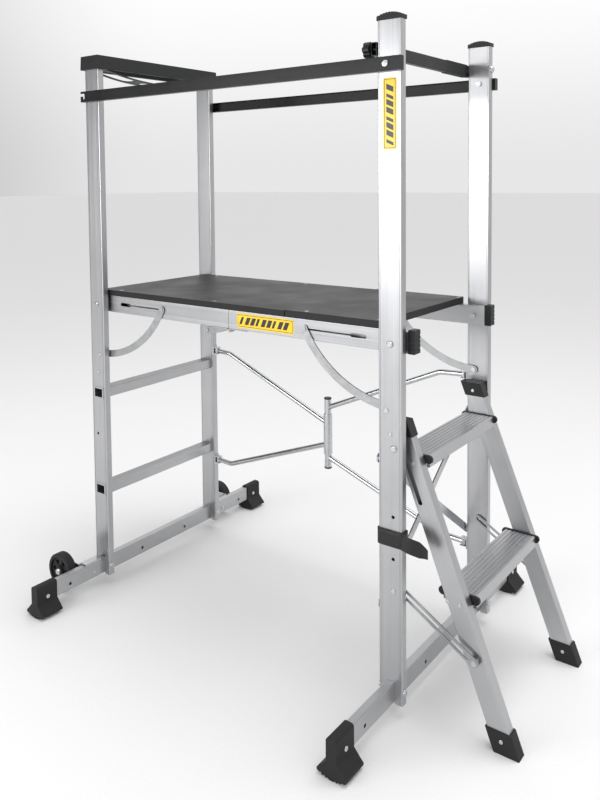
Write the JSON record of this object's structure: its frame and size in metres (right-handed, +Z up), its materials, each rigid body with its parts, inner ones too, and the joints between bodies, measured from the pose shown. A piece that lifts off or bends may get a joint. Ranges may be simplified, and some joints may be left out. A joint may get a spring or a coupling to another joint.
{
  "type": "baker scaffold",
  "caption": "Folding baker scaffold with a hinged deck, guard rails, tool tray, rear gate brace and folding side stair.",
  "frame": {"origin": "on the floor, midway between the four posts", "axes": "+X towards the stair end, -Y the front side, +Z up"},
  "size_m": [1.4018, 0.96, 1.577],
  "materials": {
    "anodised_aluminium": "satin anodised extrusion",
    "deck_facing": "black film-faced board",
    "moulded_black": "moulded, fine texture",
    "rubber": "moulded rubber",
    "black_enamel": "black powder coat",
    "zinc_steel": "bright zinc plate",
    "webbing": "woven webbing",
    "label_film": "printed film"
  },
  "bodies": {
    "left_frame": {"left_post_front": "anodised_aluminium", "left_post_rear": "anodised_aluminium", "rung_lower": "anodised_aluminium", "rung_upper": "anodised_aluminium", "left_base_bar": "anodised_aluminium", "left_foot_front": "rubber", "left_foot_rear": "rubber", "wheel_bracket_front": "zinc_steel", "wheel_bracket_rear": "zinc_steel", "tool_tray": "moulded_black", "gate_brackets_left": "zinc_steel", "left_frame_bolts": "zinc_steel"},
    "wheel_front": {"wheel_front": "moulded_black"},
    "wheel_rear": {"wheel_rear": "moulded_black"},
    "deck_left": {"deck_rail_left_front": "anodised_aluminium", "deck_rail_left_rear": "anodised_aluminium", "deck_board_left": "deck_facing", "deck_screws_left": "zinc_steel", "deck_end_caps_left": "moulded_black", "deck_hinge_left": "zinc_steel"},
    "deck_right": {"deck_rail_right_front": "anodised_aluminium", "deck_rail_right_rear": "anodised_aluminium", "deck_board_right": "deck_facing", "deck_screws_right": "zinc_steel", "deck_end_caps_right": "moulded_black", "deck_hinge_right": "zinc_steel", "deck_label": "label_film"},
    "right_frame": {"right_post_front": "anodised_aluminium", "right_post_rear": "anodised_aluminium", "right_base_bar": "anodised_aluminium", "right_foot_front": "rubber", "right_foot_rear": "rubber", "post_caps": "moulded_black", "cross_braces": "zinc_steel", "gate_brackets_right": "zinc_steel", "right_frame_bolts": "zinc_steel", "post_label": "label_film", "post_strap": "webbing"},
    "gate_left": {"gate_arms_left": "zinc_steel"},
    "gate_right": {"gate_arms_right": "zinc_steel", "gate_tube_caps": "moulded_black"},
    "stays_left": {"stays_left": "zinc_steel"},
    "stays_right": {"stays_right": "zinc_steel"},
    "guard_rail_front": {"guard_rail_front": "black_enamel"},
    "guard_rail_rear": {"guard_rail_rear": "black_enamel"},
    "end_bar": {"end_bar": "black_enamel", "end_bar_sleeve": "black_enamel"},
    "end_bar_knob": {"end_bar_knob": "moulded_black"},
    "stair_bushes": {"stair_bushes": "zinc_steel"},
    "stair": {"stair_stile_front": "anodised_aluminium", "stair_stile_rear": "anodised_aluminium", "stile_caps": "moulded_black", "stair_feet": "rubber", "stair_tread_lower": "anodised_aluminium", "stair_tread_upper": "anodised_aluminium", "tread_end_plates": "moulded_black", "stair_rivets": "zinc_steel"},
    "stair_links": {"stair_links": "zinc_steel"}
  },
  "joints": [
    {"name": "deck_fold", "type": "hinge", "parent": "left_frame", "child": "deck_left", "pos_m": [-0.5, 0, 0.849], "axis": [0, -1, 0], "range_deg": [0, 81.8]},
    {"name": "deck_middle_fold", "type": "hinge", "parent": "deck_left", "child": "deck_right", "pos_m": [0, 0, 0.82], "axis": [0, 1, 0], "range_deg": [0, 163.65]},
    {"name": "end_frame_fold", "type": "hinge", "parent": "deck_right", "child": "right_frame", "pos_m": [0.5, 0, 0.849], "axis": [0, -1, 0], "range_deg": [0, 81.85]},
    {"name": "gate_left_fold", "type": "hinge", "parent": "left_frame", "child": "gate_left", "pos_m": [-0.457, 0.232, 0.44], "axis": [0, 0, 1], "range_deg": [0, 82.51]},
    {"name": "gate_right_fold", "type": "hinge", "parent": "gate_left", "child": "gate_right", "pos_m": [0, 0.235, 0.44], "axis": [0, 0, -1], "range_deg": [0, 164.97]},
    {"name": "stay_left_fold", "type": "hinge", "parent": "left_frame", "child": "stays_left", "pos_m": [-0.49, 0, 0.699], "axis": [0, -1, 0], "range_deg": [0, 56.25]},
    {"name": "stay_right_fold", "type": "hinge", "parent": "right_frame", "child": "stays_right", "pos_m": [0.49, 0, 0.699], "axis": [0, 1, 0], "range_deg": [0, 56.25]},
    {"name": "guard_rail_front_swing", "type": "hinge", "parent": "right_frame", "child": "guard_rail_front", "pos_m": [0.5, -0.25, 1.459], "axis": [0, -1, 0], "range_deg": [0, 84]},
    {"name": "guard_rail_rear_swing", "type": "hinge", "parent": "right_frame", "child": "guard_rail_rear", "pos_m": [0.5, 0.25, 1.459], "axis": [0, -1, 0], "range_deg": [0, 84]},
    {"name": "end_bar_lift", "type": "hinge", "parent": "right_frame", "child": "end_bar", "pos_m": [0.462, 0.232, 1.496], "axis": [-1, 0, 0], "range_deg": [0, 90]},
    {"name": "end_bar_knob_turn", "type": "hinge", "parent": "end_bar", "child": "end_bar_knob", "pos_m": [0.45, -0.232, 1.496], "axis": [1, 0, 0], "continuous": true},
    {"name": "wheel_front_spin", "type": "hinge", "parent": "left_frame", "child": "wheel_front", "pos_m": [-0.564, -0.338, 0.062], "axis": [0, 1, 0], "continuous": true},
    {"name": "wheel_rear_spin", "type": "hinge", "parent": "left_frame", "child": "wheel_rear", "pos_m": [-0.564, 0.338, 0.062], "axis": [0, 1, 0], "continuous": true},
    {"name": "stair_fold", "type": "hinge", "parent": "right_frame", "child": "stair_bushes", "pos_m": [0.509, 0, 0.616], "axis": [0, 1, 0], "range_deg": [0, 18]},
    {"name": "stair_slide", "type": "slide", "parent": "stair_bushes", "child": "stair", "axis": [-0.3633, 0, 0.9317], "range_m": [0, 0.1102]},
    {"name": "stair_link_fold", "type": "hinge", "parent": "stair", "child": "stair_links", "pos_m": [0.69, 0, 0.181], "axis": [0, -1, 0], "range_deg": [0, 5.37]}
  ],
  "couplings": [
    {"joint": "deck_middle_fold", "follows": "deck_fold", "ratio": 2},
    {"joint": "end_frame_fold", "follows": "deck_fold", "ratio": 1},
    {"joint": "gate_left_fold", "follows": "deck_fold", "ratio": 1.0081},
    {"joint": "gate_right_fold", "follows": "deck_fold", "ratio": 2.0161},
    {"joint": "stay_left_fold", "follows": "deck_fold", "ratio": 0.687},
    {"joint": "stay_right_fold", "follows": "deck_fold", "ratio": 0.687},
    {"joint": "stair_slide", "follows": "stair_fold", "m_per_rad": 0.34969},
    {"joint": "stair_link_fold", "follows": "stair_fold", "ratio": 0.29577}
  ]
}
